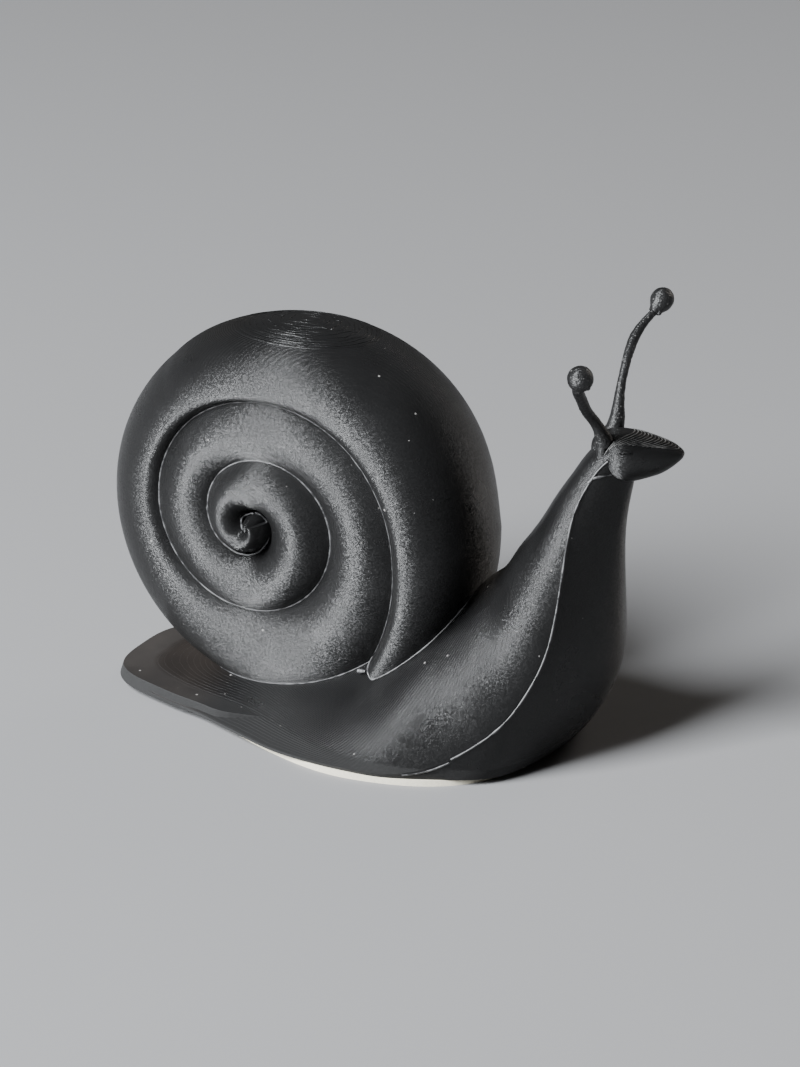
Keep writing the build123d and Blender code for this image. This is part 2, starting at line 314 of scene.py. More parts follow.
def layer_group() -> bpy.types.NodeTree:
    """Printed layers: each one shows a rounded bead on walls and a flat tread on slopes.

    Returns:
        The node group, which puts out a normal.
    """
    inputs = ("Layer Height", "Bead Tilt", "Strength", "Wobble", "Grain")
    sketch, given, result = new_group("printed layers", inputs, "NodeSocketVector")
    height, bead_tilt, strength, wobble, grain = given
    place, normal = sketch.place(), sketch.normal()
    rise = sketch.split(normal)["Z"]
    strayed = sketch.math("MULTIPLY", sketch.noise(place, WOBBLE_SCALE), wobble)
    layer = sketch.math("ADD", sketch.math("DIVIDE", sketch.split(place)["Z"], height), strayed)
    across = sketch.math("FRACT", layer)

    riser_share = sketch.math("SUBTRACT", 1.0, sketch.math("MULTIPLY", rise, rise))
    riser_share = sketch.math("MAXIMUM", riser_share, LEAST_RISER)
    bead_ends = sketch.math("SUBTRACT", riser_share, RISER_SOFTNESS)
    tread_starts = sketch.math("ADD", riser_share, RISER_SOFTNESS)
    riser = sketch.ramp(across, bead_ends, tread_starts, 1.0, 0.0)

    up_the_bead = sketch.math("DIVIDE", across, riser_share, clamp=True)
    tilt = sketch.math("MULTIPLY", sketch.math("MULTIPLY_ADD", up_the_bead, 2.0, -1.0), bead_tilt)
    flat = sketch.vector("MULTIPLY", normal, (1.0, 1.0, 0.0))
    outward = sketch.vector("NORMALIZE", sketch.vector("ADD", flat, (NUDGE, 0.0, 0.0)))
    leaning_out = sketch.vector("SCALE", outward, sketch.math("COSINE", tilt))
    bead = sketch.vector("ADD", leaning_out, sketch.upright(sketch.math("SINE", tilt)))

    dice = sketch.node("ShaderNodeTexWhiteNoise", noise_dimensions="3D")
    cell = sketch.vector("FLOOR", sketch.vector("SCALE", place, 1.0 / (GRAIN_CELL * MM)))
    sketch.feed(dice.inputs["Vector"], cell)
    lean = sketch.vector("SUBTRACT", dice.outputs["Color"], MIDDLE_GREY)
    bead = sketch.vector("ADD", bead, sketch.vector("SCALE", lean, grain))

    tread = sketch.upright(sketch.math("SIGN", rise))
    stepped = sketch.blend(riser, tread, bead, "VECTOR")
    mixed = sketch.blend(strength, normal, stepped, "VECTOR")
    sketch.feed(result, sketch.vector("NORMALIZE", mixed))
    return sketch.tree


def speck_group() -> bpy.types.NodeTree:
    """Dust specks: small round dots of differing size.

    Returns:
        The node group, which puts out the dots as a mask.
    """
    sketch, given, result = new_group("dust specks", ("Scale", "Size", "Amount"), "NodeSocketFloat")
    scale, largest, amount = given
    cells = sketch.node("ShaderNodeTexVoronoi")
    sketch.feed(cells.inputs["Vector"], sketch.place())
    sketch.feed(cells.inputs["Scale"], scale)
    dice = sketch.node("ShaderNodeSeparateColor")
    sketch.feed(dice.inputs[0], cells.outputs["Color"])
    chosen = sketch.math("LESS_THAN", dice.outputs[0], amount)
    size = sketch.math("MULTIPLY", dice.outputs[1], largest)
    core = sketch.math("MULTIPLY", size, SPECK_CORE)
    dot = sketch.ramp(cells.outputs["Distance"], core, size, 1.0, 0.0)
    sketch.feed(result, sketch.math("MULTIPLY", dot, chosen))
    return sketch.tree


LAYERS = layer_group()
SPECKS = speck_group()


def new_material(name: str) -> tuple[bpy.types.Material, Sketch, bpy.types.NodeInputs]:
    """Start a material.

    Args:
        name: its name.

    Returns:
        The material, its sketch and the inputs of its shader.
    """
    material = bpy.data.materials.new(name)
    material.use_nodes = True
    return material, Sketch(material.node_tree), material.node_tree.nodes["Principled BSDF"].inputs


@dataclass(frozen=True)
class PrintedPlastic:
    """Black printed plastic with a silky lustre.

    Attributes:
        name: the material's name.
        tint: its colour.
        dust: colour of its specks.
        painted_top_light_tint: painted top light, a lighter, warmer colour on level faces at the back of
            the snail, away from the shell.
        painted_top_light_from: X where that painted light starts.
        painted_top_light_to: X where it is full.
        level: how upright a normal is where a face starts to count as level, and where it does.
        level_fade: the least and the most that the clouds let through of that colour.
        fade_clouds: values of the clouds where they let the least and the most through.
        squashed_height: top of the first layers, which are duller, and where that ends.
        squashed_dulling: what they add to the roughness.
        roughness: its usual roughness.
        roughness_play: how far clouds take the roughness down and up.
        rough_clouds: values of the clouds where the plastic is smoothest and roughest.
        cloud_scale: scale of the clouds.
        cloud_detail: their number of finer layers.
        layer_height: height of a printed layer.
        layer_strength: how much the layers show.
        bead_tilt: how far a layer's bead turns down and up, in radians.
        wobble: how far a layer strays, as a share of its height.
        grain: how far the bead leans at random.
        speck_scale: scale of the specks.
        speck_amount: share of the cells that hold a speck.
        speck_size: size of the largest speck, as a share of its cell.
        speck_cover: how much of the plastic's colour a speck hides.
        speck_dulling: what a speck adds to the roughness.
    """

    name: str
    tint: Triple = (0.007, 0.007, 0.0072)
    dust: Triple = (0.3, 0.29, 0.28)
    painted_top_light_tint: Triple = (0.0085, 0.008, 0.0075)
    painted_top_light_from: float = -8.0
    painted_top_light_to: float = -16.0
    level: tuple[float, float] = (0.82, 0.99)
    level_fade: tuple[float, float] = (0.55, 1.0)
    fade_clouds: tuple[float, float] = (0.25, 0.75)
    squashed_height: tuple[float, float] = (2.2, 2.75)
    squashed_dulling: float = 0.42
    roughness: float = 0.31
    roughness_play: tuple[float, float] = (0.04, 0.05)
    rough_clouds: tuple[float, float] = (0.3, 0.7)
    cloud_scale: float = 130.0
    cloud_detail: float = 4.0
    layer_height: float = 0.12
    layer_strength: float = 1.0
    bead_tilt: float = 1.15
    wobble: float = 0.15
    grain: float = 0.19
    speck_scale: float = 520.0
    speck_amount: float = 0.3
    speck_size: float = 0.13
    speck_cover: float = 0.8
    speck_dulling: float = 0.3

    def material(self) -> bpy.types.Material:
        """Build the material.

        Returns:
            The material with its nodes.
        """
        material, sketch, shader = new_material(self.name)
        place = sketch.place()
        split = sketch.split(place)
        cloud = sketch.noise(place, self.cloud_scale, self.cloud_detail)
        specks = sketch.group(
            SPECKS, Scale=self.speck_scale, Size=self.speck_size, Amount=self.speck_amount,
        )

        # Painted top light: level faces at the back, away from the shell, are coloured lighter and warmer
        # in cloudy patches, standing in for the light that falls on them from above.
        level = sketch.ramp(sketch.split(sketch.normal())["Z"], *self.level)
        faded = sketch.ramp(cloud, *self.fade_clouds, *self.level_fade)
        back = sketch.ramp(split["X"], self.painted_top_light_from * MM, self.painted_top_light_to * MM)
        tread = sketch.math("MULTIPLY", sketch.math("MULTIPLY", level, faded), back)
        tint_with_top_light = sketch.blend(tread, (*self.tint, 1.0), (*self.painted_top_light_tint, 1.0))
        cover = sketch.math("MULTIPLY", specks, self.speck_cover)
        sketch.feed(shader["Base Color"], sketch.blend(cover, tint_with_top_light, (*self.dust, 1.0)))

        less, more = self.roughness_play
        least, most = self.roughness - less, self.roughness + more
        patchy = sketch.ramp(cloud, *self.rough_clouds, least, most)
        top, end = self.squashed_height
        squashed = sketch.ramp(split["Z"], top * MM, end * MM, 1.0, 0.0)
        patchy = sketch.math("MULTIPLY_ADD", squashed, self.squashed_dulling, patchy)
        sketch.feed(shader["Roughness"], sketch.math("MULTIPLY_ADD", specks, self.speck_dulling, patchy))

        sketch.feed(shader["Normal"], sketch.group(
            LAYERS, Layer_Height=self.layer_height * MM, Strength=self.layer_strength,
            Bead_Tilt=self.bead_tilt, Wobble=self.wobble, Grain=self.grain,
        ))
        return material


@dataclass(frozen=True)
class PaintedGlintBead:
    """Paler paint on a bead that stands proud: a painted highlight in bright and dim patches, standing in
    for the glint the bead catches.

    Attributes:
        name: the material's name.
        tint: colour of the bright patches of the painted highlight.
        dark: colour of the dimmer patches.
        glint_scale: scale of the bright patches.
        glint_detail: their number of finer layers.
        glint_range: values of the pattern between which the bright patches set in.
        roughness: its usual roughness.
        roughness_play: how far the patches take the roughness down and up.
        pit_scale: scale of the pits.
        pit_strength: strength of the pits.
        pit_depth: depth of the pits.
    """

    name: str
    tint: Triple = (0.1, 0.1, 0.102)
    dark: Triple = (0.02, 0.02, 0.021)
    glint_scale: float = 900.0
    glint_detail: float = 3.0
    glint_range: tuple[float, float] = (0.35, 0.62)
    roughness: float = 0.42
    roughness_play: float = 0.1
    pit_scale: float = 6000.0
    pit_strength: float = 0.6
    pit_depth: float = 0.05

    def material(self) -> bpy.types.Material:
        """Build the material.

        Returns:
            The material with its nodes.
        """
        material, sketch, shader = new_material(self.name)
        place = sketch.place()
        # Painted highlight: paler colour in patches along the bead, standing in for its glint.
        glint = sketch.ramp(sketch.noise(place, self.glint_scale, self.glint_detail), *self.glint_range)
        sketch.feed(shader["Base Color"], sketch.blend(glint, (*self.dark, 1.0), (*self.tint, 1.0)))
        least, most = self.roughness - self.roughness_play, self.roughness + self.roughness_play
        sketch.feed(shader["Roughness"], sketch.ramp(glint, 0.0, 1.0, least, most))
        pits = sketch.noise(place, self.pit_scale)
        sketch.feed(shader["Normal"], sketch.bump(pits, self.pit_strength, self.pit_depth))
        return material


@dataclass(frozen=True)
class PadFelt:
    """Pale, slightly fuzzy pad under the foot.

    Attributes:
        name: the material's name.
        tint: colour of its fibres.
        shade: how dark the gaps between them are, as a share of the tint.
        roughness: its roughness.
        fibre_scale: scale of the fibres.
        fibre_detail: their number of finer layers.
        fibre_strength: strength of their relief.
        fibre_depth: depth of their relief.
    """

    name: str
    tint: Triple = (0.68, 0.64, 0.52)
    shade: float = 0.72
    roughness: float = 0.85
    fibre_scale: float = 3000.0
    fibre_detail: float = 3.0
    fibre_strength: float = 0.4
    fibre_depth: float = 0.08

    def material(self) -> bpy.types.Material:
        """Build the material.

        Returns:
            The material with its nodes.
        """
        material, sketch, shader = new_material(self.name)
        fibre = sketch.noise(sketch.place(), self.fibre_scale, self.fibre_detail)
        darker = [self.shade * part for part in self.tint]
        sketch.feed(shader["Base Color"], sketch.blend(fibre, (*darker, 1.0), (*self.tint, 1.0)))
        sketch.feed(shader["Roughness"], self.roughness)
        sketch.feed(shader["Normal"], sketch.bump(fibre, self.fibre_strength, self.fibre_depth))
        return material


@dataclass(frozen=True)
class PlainPaint:
    """Plain matt paint for the studio floor.

    Attributes:
        name: the material's name.
        tint: its colour.
        roughness: its roughness.
    """

    name: str
    tint: Triple = (0.175, 0.175, 0.178)
    roughness: float = 0.7

    def material(self) -> bpy.types.Material:
        """Build the material.

        Returns:
            The material with its nodes.
        """
        material, sketch, shader = new_material(self.name)
        sketch.feed(shader["Base Color"], (*self.tint, 1.0))
        sketch.feed(shader["Roughness"], self.roughness)
        return material


def dress(obj: bpy.types.Object, material: bpy.types.Material) -> None:
    """Give an object one material.

    Args:
        obj: the object.
        material: the material.
    """
    if obj.material_slots:
        for holder in obj.material_slots:
            holder.link = "OBJECT"
            holder.material = material
    else:
        obj.data.materials.append(material)


def select_only(obj: bpy.types.Object) -> None:
    """Select one object and make it the active one.

    Args:
        obj: the object.
    """
    bpy.ops.object.select_all(action="DESELECT")
    obj.select_set(True)
    bpy.context.view_layer.objects.active = obj


def join_onto(piece: bpy.types.Object, others: list[bpy.types.Object]) -> None:
    """Join other objects onto a piece.

    Args:
        piece: the piece that they go into.
        others: the objects.
    """
    select_only(piece)
    for other in others:
        other.select_set(True)
    bpy.ops.object.join()


def in_box(place: Vector, low: Triple, high: Triple) -> bool:
    """Tell whether a place in millimetres lies in a box."""
    return all(least <= part <= most for least, part, most in zip(low, place, high))


def merged_copy(node: str, name: str) -> bpy.types.Object:
    """Copy a CAD node's mesh, with its loose triangles merged.

    Args:
        node: the CAD node.
        name: name of the copy.

    Returns:
        The copy, which is the only object selected.
    """
    copy = bpy.data.objects.new(name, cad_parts[node].data.copy())
    copy.data.materials.clear()
    bpy.context.scene.collection.objects.link(copy)
    select_only(copy)
    bpy.ops.object.mode_set(mode="EDIT")
    bpy.ops.mesh.select_all(action="SELECT")
    bpy.ops.mesh.remove_doubles(threshold=MERGE_DISTANCE)
    bpy.ops.object.mode_set(mode="OBJECT")
    return copy


def bare_lines(name: str, lines: list[list[Vector]]) -> bpy.types.Object:
    """Make a mesh of bare edges along lines of points.

    Args:
        name: its name.
        lines: the points of each line in order.

    Returns:
        The mesh's object, which is the only one selected.
    """
    points, runs = [], []
    for line in lines:
        first = len(points)
        points += line
        runs += [(first + i, first + i + 1) for i in range(len(line) - 1)]
    mesh = bpy.data.meshes.new(name)
    mesh.from_pydata(points, runs, [])
    piece = bpy.data.objects.new(name, mesh)
    bpy.context.scene.collection.objects.link(piece)
    select_only(piece)
    return piece


def swept_bead(line: bpy.types.Object, radius: float, waver: float, smoothing: int,
               shortest: float = 0.0) -> None:
    """Turn a mesh of bare edges into a round bead of plastic along them.

    Args:
        line: the mesh of edges, which is the only object selected.
        radius: the bead's usual radius.
        waver: share of the radius that comes and goes along the bead.
        smoothing: how many times the line is smoothed first.
        shortest: runs shorter than this are left out.
    """
    bpy.ops.object.convert(target="CURVE")
    curve = line.data
    for spline in list(curve.splines):
        places = [Vector(point.co[:3]) for point in spline.points]
        if sum((b - a).length for a, b in zip(places, places[1:])) < shortest * MM:
            curve.splines.remove(spline)
    bpy.ops.object.mode_set(mode="EDIT")
    bpy.ops.curve.select_all(action="SELECT")
    for _ in range(smoothing):
        bpy.ops.curve.smooth()
    bpy.ops.object.mode_set(mode="OBJECT")
    curve.dimensions, curve.use_fill_caps = "3D", True
    curve.bevel_depth, curve.bevel_resolution = radius * MM, BEAD_RESOLUTION
    for spline in curve.splines:
        for point in spline.points:
            place = Vector(point.co[:3])
            swell = sum(share * noise.noise(place / (period * MM)) for period, share in SWELLS)
            point.radius = max(LEAST_SWELL, 1.0 + waver * swell)
    bpy.ops.object.convert(target="MESH")
    bpy.ops.object.shade_smooth()


def finish_piece(piece: bpy.types.Object, material: bpy.types.Material) -> None:
    """Dress a new piece, fix it to the snail and report it.

    Args:
        piece: the piece.
        material: its finish.
    """
    piece.data.materials.clear()
    dress(piece, material)
    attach(piece, "root")
    LOG.info("%s made, %d faces", piece.name, len(piece.data.polygons))


@dataclass(frozen=True)
class EdgeBead:
    """Thin bead of plastic that stands along a CAD node's sharp lines.

    Attributes:
        name: the piece's name.
        node: the CAD node.
        slot: its material slot; not used.
        line: whether the lines are ridges or grooves.
        least_angle: least angle of a sharp line, in degrees.
        low: low corner of the box that the lines lie in.
        high: high corner of that box.
        least_width: least distance of a line from the snail's middle plane.
        radius: the bead's radius.
        gap: X, Z and radius of a round space without beads.
        shortest: shorter lines get no bead.
        waver: share of the radius that comes and goes.
        smoothing: how many times the lines are smoothed.
    """

    name: str
    node: str
    slot: Slot
    line: Line
    least_angle: float
    low: Triple
    high: Triple
    least_width: float = 1.7
    radius: float = 0.15
    gap: Triple = (0.0, 0.0, 0.0)
    shortest: float = 3.0
    waver: float = 0.45
    smoothing: int = 4

    def wanted(self, edge: bmesh.types.BMEdge) -> bool:
        """Tell whether a bead stands on an edge.

        Args:
            edge: an edge of the node's mesh.

        Returns:
            True where the edge is sharp enough and within the bead's box.
        """
        if len(edge.link_faces) != 2:
            return False
        if self.line.value * math.degrees(edge.calc_face_angle_signed(0.0)) < self.least_angle:
            return False
        middle = (edge.verts[0].co + edge.verts[1].co) / (2 * MM)
        gap_x, gap_z, gap_radius = self.gap
        if math.hypot(middle.x - gap_x, middle.z - gap_z) < gap_radius:
            return False
        return in_box(middle, self.low, self.high) and abs(middle.y) >= self.least_width

    def build(self, material: bpy.types.Material) -> None:
        """Make the bead.

        Args:
            material: its finish.
        """
        piece = merged_copy(self.node, self.name)
        bpy.ops.object.mode_set(mode="EDIT")
        bpy.ops.mesh.select_mode(type="EDGE")
        bpy.ops.mesh.select_all(action="DESELECT")
        mesh = bmesh.from_edit_mesh(piece.data)
        for edge in mesh.edges:
            if not self.wanted(edge):
                edge.select_set(True)
        bmesh.update_edit_mesh(piece.data)
        bpy.ops.mesh.delete(type="EDGE_FACE")
        bpy.ops.mesh.select_all(action="SELECT")
        bpy.ops.mesh.delete_loose(use_verts=True, use_edges=False, use_faces=False)
        bpy.ops.object.mode_set(mode="OBJECT")
        swept_bead(piece, self.radius, self.waver, self.smoothing, self.shortest)
        finish_piece(piece, material)


@dataclass(frozen=True)
class DrawnBead:
    """Bead of plastic laid along a few given points.

    Attributes:
        name: the piece's name.
        slot: its material slot; not used.
        points: the points in order.
        radius: the bead's radius.
        waver: share of the radius that comes and goes.
        cuts: points added between two points.
        smoothing: how many times the line is smoothed.
    """

    name: str
    slot: Slot
    points: tuple[Triple, ...]
    radius: float = 0.15
    waver: float = 0.3
    cuts: int = 5
    smoothing: int = 10

    def build(self, material: bpy.types.Material) -> None:
        """Make the bead.

        Args:
            material: its finish.
        """
        piece = bare_lines(self.name, [[Vector(point) * MM for point in self.points]])
        bpy.ops.object.mode_set(mode="EDIT")
        bpy.ops.mesh.select_all(action="SELECT")
        bpy.ops.mesh.subdivide(number_cuts=self.cuts)
        bpy.ops.object.mode_set(mode="OBJECT")
        swept_bead(piece, self.radius, self.waver, self.smoothing)
        finish_piece(piece, material)


@dataclass(frozen=True)
class BeakTerraces:
    """Curved edges of the last printed layers on top of the snail's beak.

    Attributes:
        name: the piece's name.
        first: X of the first edge, on the beak's middle.
        spacing: distance between two edges.
        count: number of edges.
        tip: X of the beak's tip.
        beak_length: length of the beak's round end.
        half_width: half the beak's width.
        sweep: how far the first edge's ends lie behind its middle.
        straight_after: number of edges after which they would run straight.
        half_parts: points on each half of an edge.
        drop_height: height from which they are laid down.
        least_rise: how upright the surface has to be for them.
        lift: how far they lie above it.
        radius: their radius.
        waver: share of the radius that comes and goes.
        smoothing: how many times they are smoothed.
    """

    name: str = "beak_terraces"
    first: float = 46.6
    spacing: float = 0.5
    count: int = 14
    tip: float = 53.9
    beak_length: float = 8.0
    half_width: float = 3.7
    sweep: float = 2.6
    straight_after: int = 26
    half_parts: int = 10
    drop_height: float = 60.0
    least_rise: float = 0.3
    lift: float = 0.01
    radius: float = 0.085
    waver: float = 0.35
    smoothing: int = 2

    def edge(self, step: int) -> list[Vector]:
        """Lay one edge down on the beak.

        Args:
            step: its number, counted from the eyes to the tip.

        Returns:
            Its points.
        """
        middle = self.first + step * self.spacing
        width = self.half_width * math.sqrt(max(0.0, self.tip - middle) / self.beak_length)
        sweep = self.sweep * (1 - step / self.straight_after)
        points = []
        for part in range(-self.half_parts, self.half_parts + 1):
            share = part / self.half_parts
            above = Vector((middle - sweep * share * share, share * width, self.drop_height)) * MM
            struck, place, normal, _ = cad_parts["body"].ray_cast(above, DOWN)
            if struck and normal.z > self.least_rise:
                points.append(place + UP * self.lift * MM)
        return points

    def build(self, material: bpy.types.Material) -> None:
        """Make the edges.

        Args:
            material: their finish.
        """
        piece = bare_lines(self.name, [self.edge(step) for step in range(self.count)])
        swept_bead(piece, self.radius, self.waver, self.smoothing)
        finish_piece(piece, material)


@dataclass(frozen=True)
class LayerRings:
    """Edges of the printed layers where a CAD node's surface lies nearly level.

    Attributes:
        name: the piece's name.
        node: the CAD node.
        slot: its material slot; not used.
        low: low corner of the box that the surface lies in.
        high: high corner of that box.
        first: height of the highest ring.
        pitch: height between two rings.
        count: number of rings.
        least_rise: how upright the surface has to be.
        fewest_edges: a ring with fewer edges is left out.
        radius: radius of the rings.
        waver: share of the radius that comes and goes.
        smoothing: how many times they are smoothed.
    """

    name: str
    node: str
    slot: Slot
    low: Triple
    high: Triple
    first: float
    pitch: float
    count: int
    least_rise: float = 0.3
    fewest_edges: int = 3
    radius: float = 0.06
    waver: float = 0.3
    smoothing: int = 2

    def level_part(self) -> bpy.types.Object:
        """Cut out the surface that carries rings.

        Returns:
            An open copy of that part of the node's mesh.
        """
        part = merged_copy(self.node, self.name)
        bpy.ops.object.mode_set(mode="EDIT")
        bpy.ops.mesh.select_mode(type="FACE")
        mesh = bmesh.from_edit_mesh(part.data)
        for face in mesh.faces:
            inside = in_box(face.calc_center_median() / MM, self.low, self.high)
            face.select_set(not (inside and face.normal.z > self.least_rise))
        bmesh.update_edit_mesh(part.data)
        bpy.ops.mesh.delete(type="FACE")
        bpy.ops.object.mode_set(mode="OBJECT")
        return part

    def ring(self, part: bpy.types.Object, height: float) -> bpy.types.Object | None:
        """Make one ring.

        Args:
            part: the surface that carries it.
            height: its height.

        Returns:
            The ring, or None where too little of the surface reaches that height.
        """
        ring = part.copy()
        ring.data = part.data.copy()
        bpy.context.scene.collection.objects.link(ring)
        select_only(ring)
        bpy.ops.object.mode_set(mode="EDIT")
        bpy.ops.mesh.select_all(action="SELECT")
        bpy.ops.mesh.bisect(
            plane_co=(0.0, 0.0, height * MM), plane_no=UP, clear_inner=True, clear_outer=True,
        )
        bpy.ops.object.mode_set(mode="OBJECT")
        if len(ring.data.edges) < self.fewest_edges:
            bpy.data.objects.remove(ring)
            return None
        swept_bead(ring, self.radius, self.waver, self.smoothing)
        return ring

    def build(self, material: bpy.types.Material) -> None:
        """Make the rings.

        Args:
            material: their finish.
        """
        part = self.level_part()
        rings = [self.ring(part, self.first - step * self.pitch) for step in range(self.count)]
        piece, *others = [ring for ring in rings if ring]
        bpy.data.objects.remove(part)
        join_onto(piece, others)
        piece.name = self.name
        finish_piece(piece, material)


@dataclass(frozen=True)
class RoughStalk:
    """Eye stalk with the lumps of a thin print and one burr under its bulb.

    Attributes:
        name: the piece's name.
        node: the CAD node that it replaces.
        burr: middle of the burr.
        burr_radius: radius of the burr.
        burr_shape: how it is stretched along X, Y and Z.
        burr_fineness: how often its faces are divided.
        voxel: size of the cells that its skin is made of.
        lump_size: size of its lumps.
        lump_depth: how far they stand out.
        grain_size: size of its grain.
        grain_depth: how far that stands out.
        pattern_depth: number of finer layers in both.
    """

    name: str
    node: str
    burr: Triple
    burr_radius: float = 0.3
    burr_shape: Triple = (1.0, 0.8, 1.3)
    burr_fineness: int = 2
    voxel: float = 0.07
    lump_size: float = 0.9
    lump_depth: float = 0.1
    grain_size: float = 0.22
    grain_depth: float = 0.09
    pattern_depth: int = 2

    def add_burr(self, piece: bpy.types.Object) -> None:
        """Join the burr onto the stalk.

        Args:
            piece: the stalk.
        """
        bpy.ops.object.select_all(action="DESELECT")
        bpy.ops.mesh.primitive_ico_sphere_add(
            subdivisions=self.burr_fineness, radius=self.burr_radius * MM,
            location=[part * MM for part in self.burr],
        )
        burr = bpy.context.object
        bpy.ops.transform.resize(value=self.burr_shape)
        bpy.ops.object.transform_apply(location=True, rotation=True, scale=True)
        join_onto(piece, [burr])

    def roughen(self, piece: bpy.types.Object, label: str, size: float, depth: float) -> None:
        """Push the skin out by a cloud pattern.

        Args:
            piece: the stalk.
            label: name of the pattern.
            size: its size.
            depth: how far it pushes.
        """
        cloud = bpy.data.textures.new(label, "CLOUDS")
        cloud.noise_scale, cloud.noise_depth = size * MM, self.pattern_depth
        push = piece.modifiers.new(label, "DISPLACE")
        push.texture, push.texture_coords = cloud, "LOCAL"
        push.strength, push.mid_level = depth * MM, 0.0
        bpy.ops.object.modifier_apply(modifier=label)

    def build(self, material: bpy.types.Material) -> None:
        """Make the stalk in place of its CAD node, and no higher than that.

        Args:
            material: its finish.
        """
        piece = merged_copy(self.node, self.name)
        self.add_burr(piece)
        skin = piece.modifiers.new("skin", "REMESH")
        skin.mode, skin.voxel_size = "VOXEL", self.voxel * MM
        bpy.ops.object.modifier_apply(modifier=skin.name)
        self.roughen(piece, "lumps", self.lump_size, self.lump_depth)
        self.roughen(piece, "grain", self.grain_size, self.grain_depth)
        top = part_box(self.node)[1][2]
        for vertex in piece.data.vertices:
            vertex.co.z = min(vertex.co.z, top)
        bpy.ops.object.shade_smooth()
        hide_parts(self.node)
        finish_piece(piece, material)


@dataclass(frozen=True)
class ShellTrim:
    """Fine relief on the shell.

    Attributes:
        groove: bead along the groove between the whorls, but for the innermost one.
        seam: bead along the lower edge, where the shell sits on the body.
        apex_ring: bead round the innermost whorl.
        apex_hook: the spiral's hooked end.
        nub: blob on the seam under the shell's mouth.
        top: layer edges on the shell's top.
    """

    groove: EdgeBead = EdgeBead(
        "groove_bead", "shell", Slot.SHELL, Line.GROOVE, least_angle=24.0,
        low=(-40, -20, 10), high=(30, 20, 60), gap=(-4.2, 29.2, 4.2),
    )
    seam: EdgeBead = EdgeBead(
        "seam_bead", "shell", Slot.SHELL, Line.RIDGE, least_angle=30.0,
        low=(-16, -20, 3), high=(30, 20, 24), radius=0.16,
    )
    apex_ring: DrawnBead = DrawnBead("apex_ring_bead", Slot.SHELL, (
        (-12.38, -11.13, 30.26), (-12.17, -11.15, 29.14), (-11.71, -11.24, 27.6),
        (-10.89, -11.19, 26.23), (-9.91, -11.08, 25.2), (-8.78, -10.92, 24.43),
        (-7.8, -10.8, 23.98), (-6.21, -10.5, 23.82), (-4.67, -10.1, 24.5),
        (-3.26, -10.3, 26.47), (-2.9, -10.35, 28.24), (-3.5, -10.1, 29.36),
        (-4.26, -10.3, 30.09), (-5.09, -10.41, 30.38),
    ))
    apex_hook: DrawnBead = DrawnBead("apex_hook_bead", Slot.SHELL, (
        (-5.22, -10.66, 30.33), (-6.23, -10.4, 29.96), (-6.82, -10.55, 29.72),
        (-7.0, -11.04, 29.36), (-6.7, -11.6, 28.95), (-5.8, -13.05, 29.0),
        (-5.3, -13.55, 28.85),
    ))
    nub: DrawnBead = DrawnBead("seam_nub", Slot.SHELL, (
        (10.6, -10.1, 9.45), (11.2, -10.3, 9.65), (11.9, -10.5, 9.85),
    ), radius=0.3, waver=0.6)
    top: LayerRings = LayerRings(
        "shell_top_rings", "shell", Slot.SHELL, low=(-20, -14, 52), high=(12, 14, 57),
        first=55.9, pitch=0.2, count=9,
    )

    def build(self, plastic: bpy.types.Material, painted_glint: bpy.types.Material) -> None:
        """Make the shell's relief.

        Args:
            plastic: the shell's finish.
            painted_glint: finish of the beads, a painted highlight in paler colour.
        """
        for bead in (self.groove, self.seam, self.apex_ring, self.apex_hook, self.nub):
            bead.build(painted_glint)
        self.top.build(plastic)


@dataclass(frozen=True)
class BodyTrim:
    """Fine relief on the body.

    Attributes:
        crease: bead along the crease that runs up the neck.
        crease_tail: the crease's flat end along the foot, on the near side.
        jaw: short bead under the jaw.
        beak: layer edges on the beak.
    """

    crease: EdgeBead = EdgeBead(
        "crease_bead", "body", Slot.BODY, Line.RIDGE, least_angle=7.0,
        low=(16, -20, 1.5), high=(45, 20, 44.5), least_width=3.0,
    )
    crease_tail: DrawnBead = DrawnBead("crease_tail_bead", Slot.BODY, (
        (23.34, -22.34, 1.53), (24.65, -21.85, 1.75), (26.08, -21.29, 2.09),
        (27.53, -20.68, 2.66), (29.3, -19.9, 3.6),
    ))
    jaw: DrawnBead = DrawnBead("jaw_bead", Slot.BODY, (
        (42.28, -4.82, 40.96), (42.88, -4.57, 41.69), (43.91, -4.2, 41.97),
        (45.04, -3.49, 42.16),
    ), radius=0.17, waver=0.8)
    beak: BeakTerraces = BeakTerraces()

    def build(self, painted_glint: bpy.types.Material, layer_edge: bpy.types.Material) -> None:
        """Make the body's relief.

        Args:
            painted_glint: finish of the beads, a painted highlight in paler colour.
            layer_edge: finish of the layer edges, a painted highlight in paler colour.
        """
        for bead in (self.crease, self.crease_tail, self.jaw):
            bead.build(painted_glint)
        self.beak.build(layer_edge)


@dataclass(frozen=True)
class EyeStalks:
    """Both eye stalks.

    Attributes:
        left: the high one, on the far side in the photograph.
        right: the low one, on the near side.
    """

    left: RoughStalk = RoughStalk("eye_stalk_left_skin", "eye_stalk_left", (44.5, 13.0, 59.85))
    right: RoughStalk = RoughStalk("eye_stalk_right_skin", "eye_stalk_right", (46.1, -14.6, 58.2))

    def build(self, plastic: bpy.types.Material) -> None:
        """Make both stalks.

        Args:
            plastic: their finish.
        """
        for stalk in (self.left, self.right):
            stalk.build(plastic)


